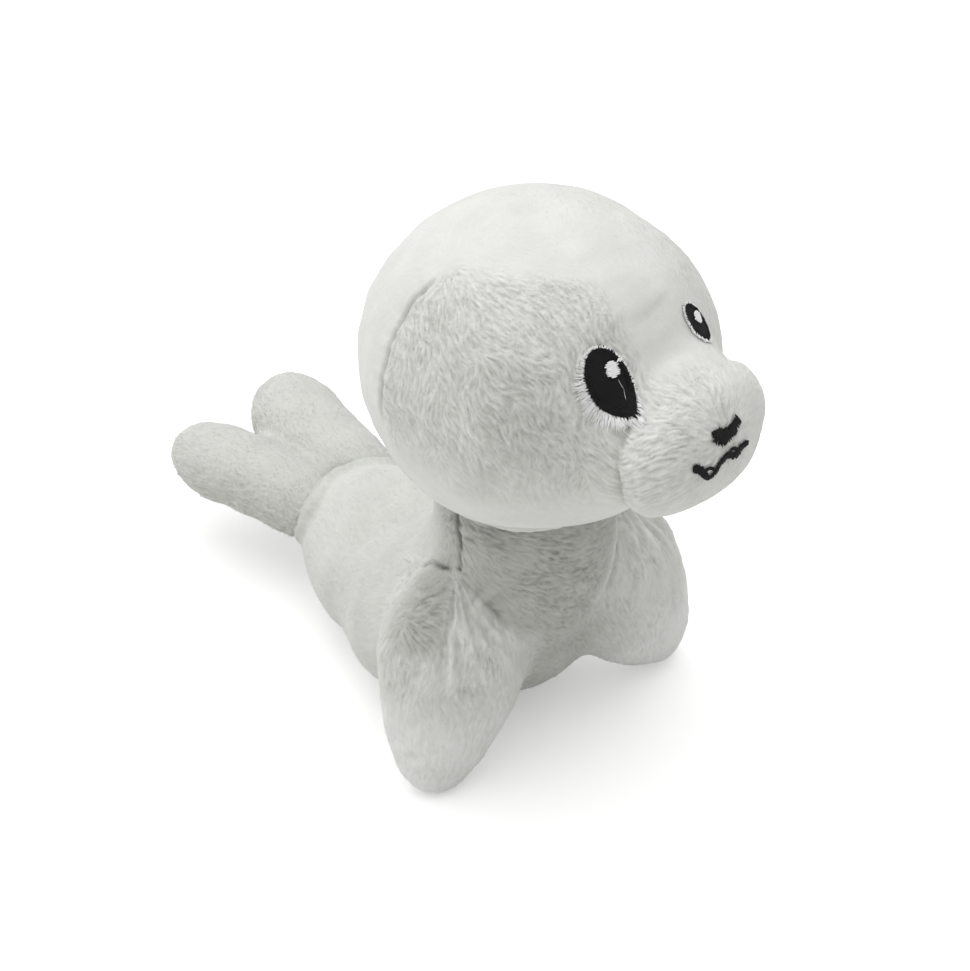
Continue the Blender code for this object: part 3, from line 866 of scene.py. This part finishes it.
def rayon_thread(name, dark, light, roughness):
    """Machine embroidery thread: smooth twisted filament with a satin gleam along each stitch."""
    made, tree = new_material(name)
    where = add(tree, "ShaderNodeTexCoord").outputs["Object"]
    # Filaments, 0.2 mm across, drawn coarser than real ones so that they show
    fibre = add(tree, "ShaderNodeTexNoise", {"Scale": 5000.0, "Detail": 1.0}, {"Vector": where})
    ramp = add(tree, "ShaderNodeValToRGB", {}, {"Fac": fibre.outputs["Fac"]})
    ramp.color_ramp.elements[0].position = 0.35
    ramp.color_ramp.elements[0].color = linear(dark)
    ramp.color_ramp.elements[1].position = 0.7
    ramp.color_ramp.elements[1].color = linear(light)
    shader = add(
        tree, "ShaderNodeBsdfPrincipled", {"Roughness": roughness, "Specular IOR Level": 0.2},
        {"Base Color": ramp.outputs["Color"]},
    )
    add(tree, "ShaderNodeOutputMaterial", {}, {"Surface": shader.outputs["BSDF"]})
    return made


# Stage

def seen_directly(tree):
    """The ray's kinds, and a 1 for the rays that the camera or a gloss sees the surface by."""
    light = add(tree, "ShaderNodeLightPath")
    seen = add(
        tree, "ShaderNodeMath", {"operation": "MAXIMUM"},
        {0: light.outputs["Is Camera Ray"], 1: light.outputs["Is Glossy Ray"]},
    )
    return light, seen


def white_table():
    """A matt table that is plain white to the camera and keeps the shadow."""
    made, tree = new_material("matt_white_table")
    _, seen = seen_directly(tree)
    white = add(tree, "ShaderNodeBsdfDiffuse", {"Color": linear("#F8F8F8")})
    grey = add(tree, "ShaderNodeBsdfDiffuse", {"Color": linear("#EEEEEC")})
    matt = add(tree, "ShaderNodeMixShader", {}, {"Fac": seen.outputs[0]})
    tree.links.new(grey.outputs[0], matt.inputs[1])
    tree.links.new(white.outputs[0], matt.inputs[2])
    glow = add(tree, "ShaderNodeEmission", {"Color": (1, 1, 1, 1)})
    lift = add(tree, "ShaderNodeMath", {"operation": "MULTIPLY", 1: 0.30}, {0: seen.outputs[0]})
    tree.links.new(lift.outputs[0], glow.inputs["Strength"])
    both = add(tree, "ShaderNodeAddShader")
    tree.links.new(matt.outputs[0], both.inputs[0])
    tree.links.new(glow.outputs[0], both.inputs[1])
    add(tree, "ShaderNodeOutputMaterial", {}, {"Surface": both.outputs[0]})
    bm = bmesh.new()
    bmesh.ops.create_grid(bm, x_segments=1, y_segments=1, size=3.0)
    mesh = bpy.data.meshes.new("table")
    bm.to_mesh(mesh)
    bm.free()
    mesh.materials.append(made)
    table = bpy.data.objects.new("table", mesh)
    scene.collection.objects.link(table)


def white_sky():
    """A sky that is plain white to the camera, and lights the toy as a studio does."""
    world = bpy.data.worlds.new("white_sky")
    scene.world = world
    world.use_nodes = True
    tree = world.node_tree
    tree.nodes.clear()
    light, seen = seen_directly(tree)
    through = add(
        tree, "ShaderNodeMath", {"operation": "MAXIMUM"},
        {0: seen.outputs[0], 1: light.outputs["Is Transmission Ray"]},
    )
    # The sky is brightest overhead and behind, as a studio's is, and weakest in front of the chest
    where = add(tree, "ShaderNodeTexCoord")
    facing = add(
        tree, "ShaderNodeVectorMath", {"operation": "DOT_PRODUCT", 1: (-0.07, 0.30, 0.50)},
        {0: where.outputs["Generated"]},
    )
    height = add(tree, "ShaderNodeMath", {"operation": "ADD", 1: 0.47}, {0: facing.outputs["Value"]})
    soft = add(tree, "ShaderNodeBackground", {"Color": (1, 1, 1, 1)}, {"Strength": height.outputs[0]})
    plain = add(tree, "ShaderNodeBackground", {"Color": (1, 1, 1, 1), "Strength": 1.0})
    both = add(tree, "ShaderNodeMixShader", {}, {"Fac": through.outputs[0]})
    tree.links.new(soft.outputs[0], both.inputs[1])
    tree.links.new(plain.outputs[0], both.inputs[2])
    add(tree, "ShaderNodeOutputWorld", {}, {"Surface": both.outputs[0]})


def softbox(name, place, target, size, power):
    """A round area light that faces its target: the size is across, in metres, and the power in watts."""
    data = bpy.data.lights.new(name, "AREA")
    data.shape = "DISK"
    data.size = size
    data.energy = power
    lamp = bpy.data.objects.new(name, data)
    lamp.location = place
    lamp.rotation_euler = (Vector(target) - Vector(place)).to_track_quat("-Z", "Y").to_euler()
    scene.collection.objects.link(lamp)


# Embroidery

def eye_point(tree, side, along, up):
    """A spot of fabric at an eye and its outward direction: along to the seal's left and up, in metres."""
    forward, left, top = eye_axes(side)
    turn = Matrix.Rotation(HEAD_TURN, 3, "Z")
    way = turn @ Vector(forward * HEAD_RADIUS + left * along + top * up).normalized()
    spot = tree.ray_cast(HEAD_CENTRE + way * OUTSIDE, -way)[0]
    return spot, way


def muzzle_point(tree, across, up):
    """A spot on the front of the muzzle, straight ahead of the head's centre plus across and up."""
    turn = Matrix.Rotation(HEAD_TURN, 3, "Z")
    ahead = turn @ Vector((0, -1, 0))
    start = HEAD_CENTRE + turn @ Vector((across, -OUTSIDE, up))
    spot = tree.ray_cast(start, -ahead)[0]
    return spot, ahead


def stitch(bm, surface, start, end, width, lift, fat):
    """One satin stitch, as a closed thread pressed onto the fabric between two spots of a patch."""
    bead = bmesh.ops.create_uvsphere(bm, u_segments=6, v_segments=6, radius=1.0)["verts"]
    run = Vector((end[0] - start[0], end[1] - start[1]))
    length = max(run.length, 1e-6)
    across = Vector((-run.y, run.x)) / length
    for vert in bead:
        share = math.copysign(abs(vert.co.z) ** 0.7, vert.co.z)
        at = Vector(start) + run * (share + 1) / 2 + across * vert.co.x * width / 2
        spot, out = surface(at.x, at.y)
        vert.co = spot + out * (lift + vert.co.y * fat / 2)


def face_piece(name, bm, material, nodes):
    """Stitches as one piece on the head, in place of the CAD nodes that it names."""
    bmesh.ops.recalc_face_normals(bm, faces=bm.faces[:])
    mesh = bpy.data.meshes.new(name)
    bm.to_mesh(mesh)
    bm.free()
    mesh.shade_smooth()
    mesh.materials.append(material)
    obj = bpy.data.objects.new(name, mesh)
    scene.collection.objects.link(obj)
    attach(obj, "root")
    if nodes:
        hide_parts(*nodes)


# How far apart the rows of satin stitch lie
THREAD_PITCH = 0.36 * MM
# Across and up from each eye's middle to its glint, and the glint's size
GLINT_AT = {-1: (1.2 * MM, 2.1 * MM, 3.3 * MM), 1: (0.6 * MM, 0.6 * MM, 2.5 * MM)}
# White backing threads round the black: the way that they are shortest, and how far the longest stand out
HALO_WAY = math.radians(25)
HALO_REACH = {-1: 2.8 * MM, 1: 0.4 * MM}
rng = np.random.default_rng(7)


def leaned(x, y, lean):
    """A spot on an upright oval, as it lies on the leaning one."""
    return x * math.cos(lean) + y * math.sin(lean), y * math.cos(lean) - x * math.sin(lean)


def border_count(side):
    """How many short stitches go round an eye's edge."""
    wide, tall, _ = EYE_OVAL[side]
    return int(math.pi * (wide + tall) / 2 / (THREAD_PITCH * 0.8))


def eye_black(side, surface):
    """Rows of satin stitch across an oval, and a ragged border of short stitches round it."""
    wide, tall, lean = EYE_OVAL[side]
    bm = bmesh.new()
    filled = tall * 0.94
    rows = int(filled / THREAD_PITCH)
    for i in range(rows):
        y = ((i + 0.5) / rows - 0.5) * filled
        half = wide / 2 * 0.92 * math.sqrt(max(0.0, 1 - (2 * y / tall) ** 2))
        a = leaned(-half, y, lean)
        b = leaned(half, y, lean)
        stitch(bm, surface, a, b, THREAD_PITCH * 1.5, 0.35 * MM, 0.42 * MM)
    border = border_count(side)
    for i in range(border):
        turn = 2 * math.pi * i / border
        outer = 1.0 + rng.uniform(-0.02, 0.05)
        inner = 0.74 + rng.uniform(-0.05, 0.05)
        spin = rng.uniform(-0.03, 0.03)
        a = leaned(wide / 2 * inner * math.cos(turn), tall / 2 * inner * math.sin(turn), lean)
        b = leaned(wide / 2 * outer * math.cos(turn + spin), tall / 2 * outer * math.sin(turn + spin), lean)
        stitch(bm, surface, a, b, THREAD_PITCH * 1.2, 0.42 * MM, 0.45 * MM)
    return bm


def eye_halo(side, surface):
    """White backing threads that stand out round the black, longest below and to the seal's right."""
    wide, tall, lean = EYE_OVAL[side]
    bm = bmesh.new()
    count = border_count(side) * 4
    for i in range(count):
        turn = 2 * math.pi * (i + rng.uniform(-0.4, 0.4)) / count
        share = 0.5 - 0.5 * math.cos(turn - HALO_WAY)
        long = (0.15 * MM + HALO_REACH[side] * share ** 3) * rng.uniform(0.5, 1.25)
        spin = rng.uniform(-0.08, 0.08)
        a = leaned(wide / 2 * 0.93 * math.cos(turn), tall / 2 * 0.93 * math.sin(turn), lean)
        b = leaned((wide / 2 + long) * math.cos(turn + spin), (tall / 2 + long) * math.sin(turn + spin), lean)
        stitch(bm, surface, a, b, 0.17 * MM, 0.40 * MM + rng.uniform(-0.1, 0.2) * MM, 0.2 * MM)
    return bm


def eye_glint(side, surface):
    """A white spot of satin stitch, and on the right eye also a thin white thread as a painted highlight on
    the black satin, and a small tuft beside it.
    """
    bm = bmesh.new()
    rows = 9
    along, up, size = GLINT_AT[side]
    for i in range(rows):
        y = ((i + 0.5) / rows - 0.5) * size
        half = size / 2 * math.sqrt(max(0.0, 1 - (2 * y / size) ** 2)) * rng.uniform(0.75, 1.2)
        a = (along - half, up + y)
        b = (along + half, up + y)
        stitch(bm, surface, a, b, THREAD_PITCH * 1.3, 0.72 * MM, 0.45 * MM)
    if side < 0:
        # A thin white thread as a painted highlight on the black satin
        for x0, y0, x1, y1 in ((1.9, 0.0, 2.6, -2.2), (2.6, -2.2, 2.4, -4.1)):
            stitch(bm, surface, (x0 * MM, y0 * MM), (x1 * MM, y1 * MM), 0.08 * MM, 0.66 * MM, 0.08 * MM)
        for x0, y0, x1, y1 in ((2.5, 3.2, 3.2, 4.0), (3.2, 4.0, 3.1, 3.2), (3.1, 3.2, 3.8, 3.7)):
            stitch(bm, surface, (x0 * MM, y0 * MM), (x1 * MM, y1 * MM), THREAD_PITCH, 0.85 * MM, 0.35 * MM)
    return bm


def embroidered_eye(side, tree, black, white):
    """A black oval, the white backing threads round it, and a white glint on it."""
    surface = partial(eye_point, tree, side)
    eye = "eye_left" if side > 0 else "eye_right"
    halo = eye.replace("eye", "eye_halo")
    glint = eye.replace("eye", "eye_glint")
    face_piece(eye + "_satin", eye_black(side, surface), black, [eye])
    face_piece(halo, eye_halo(side, surface), white, [])
    face_piece(glint + "_satin", eye_glint(side, surface), white, [glint])


def thick_line(bm, surface, marks, pitch, lift, fat):
    """Satin stitches laid across a line whose marks give x, y and the line's width, in millimetres."""
    line = smooth_path([(x * MM, y * MM, wide * MM) for x, y, wide in marks], steps=12)
    travelled = 0.0
    for here, there in zip(line, line[1:]):
        run = Vector((there.x - here.x, there.y - here.y))
        travelled += run.length
        if travelled < pitch or run.length < 1e-9:
            continue
        travelled = 0.0
        across = Vector((-run.y, run.x)).normalized()
        slant = run.normalized() * pitch * rng.uniform(-0.4, 0.8)
        half = here.z / 2 * rng.uniform(0.92, 1.12)
        a = Vector((here.x, here.y)) - across * half - slant
        b = Vector((here.x, here.y)) + across * half + slant
        stitch(bm, surface, a, b, pitch * 1.7, lift, fat)


def nose_and_mouth(tree, black):
    """The nose as one thick line, and the mouth as a thinner one with two loops of thread."""
    surface = partial(muzzle_point, tree)
    bm = bmesh.new()
    thick_line(bm, surface, NOSE_LINE, 0.30 * MM, 0.45 * MM, 0.5 * MM)
    face_piece("nose_satin", bm, black, ["nose"])
    bm = bmesh.new()
    for line in (MOUTH_LINE, *MOUTH_LOOPS):
        thick_line(bm, surface, line, 0.28 * MM, 0.4 * MM, 0.45 * MM)
    face_piece("mouth_satin", bm, black, ["mouth"])


# Putting it together

camera()
white_table()
white_sky()
softbox("overhead_softbox", (0.05, 0.15, 1.3), (0, 0, 0.05), 1.6, 6.0)

plush = polyester_minky("brushed_polyester_minky")
black = rayon_thread("black_rayon_thread", "#060606", "#121212", 0.6)
white = rayon_thread("white_rayon_thread", "#F2F2F2", "#FDFDFD", 0.5)

# Each bag's node and name, how its pile lies, is brushed and curls, its ridges' depth, and a seed
BAGS = (
    ("head", "head_bag", head_nap, head_brushing, head_curl, 0.16 * MM, 11),
    ("body", "body_bag", body_nap, body_brushing, 0.40, 0.16 * MM, 23),
    ("tail", "tail_bag", tail_nap, tail_brushing, 0.50, 0.13 * MM, 53),
)

solid_trees = {node: surface_tree(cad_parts[node].data) for nodes in SOLIDS.values() for node in nodes}
bags = [sewn_bag(node, name, SEAMS[node]) for node, name, *_ in BAGS]
fill_bags(bags)
for bag, (node, _, nap, brushing, curl, ridge, seed) in zip(bags, BAGS):
    dressed(bag, node, nap, brushing, curl, ridge, seed)
    bag.data.materials.clear()
    bag.data.materials.append(plush)
    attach(bag, "root")
    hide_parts(*SOLIDS[node])
    pile = loose_pile(bag, node, nap, brushing, curl, seed + 100)
    pile.data.materials.append(plush)
    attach(pile, "root")

head_tree = surface_tree(bags[0].data)
for side in (-1, 1):
    embroidered_eye(side, head_tree, black, white)
nose_and_mouth(head_tree, black)
